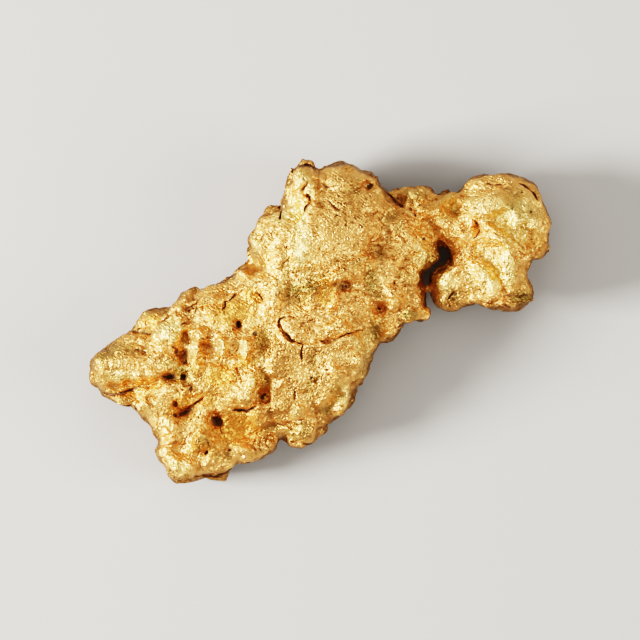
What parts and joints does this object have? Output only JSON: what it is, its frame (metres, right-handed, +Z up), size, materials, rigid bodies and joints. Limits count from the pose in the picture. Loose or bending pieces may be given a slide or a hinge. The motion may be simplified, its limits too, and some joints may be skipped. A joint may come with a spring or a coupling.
{
  "type": "gold nugget",
  "caption": "Natural gold nugget: one worn, knobbly, pitted lump with a thumb-like tip, a high middle, a narrow neck and a round end lobe; lies on worn flats.",
  "frame": {"origin": "middle of the bounding box in plan, on the plane of the worn flats that the nugget lies on", "axes": "+X along the longest side, from the thumb-like tip towards the round lobe; +Z up, the thinnest way, away from the ground; +Y makes it right-handed"},
  "size_m": [0.0372, 0.026, 0.0091],
  "materials": {
    "native_gold": "worn native gold: satin rubbed high places, granular broken faces, and iron stain in the pits and creases"
  },
  "bodies": {
    "root": {"nugget": "native_gold"}
  },
  "joints": []
}
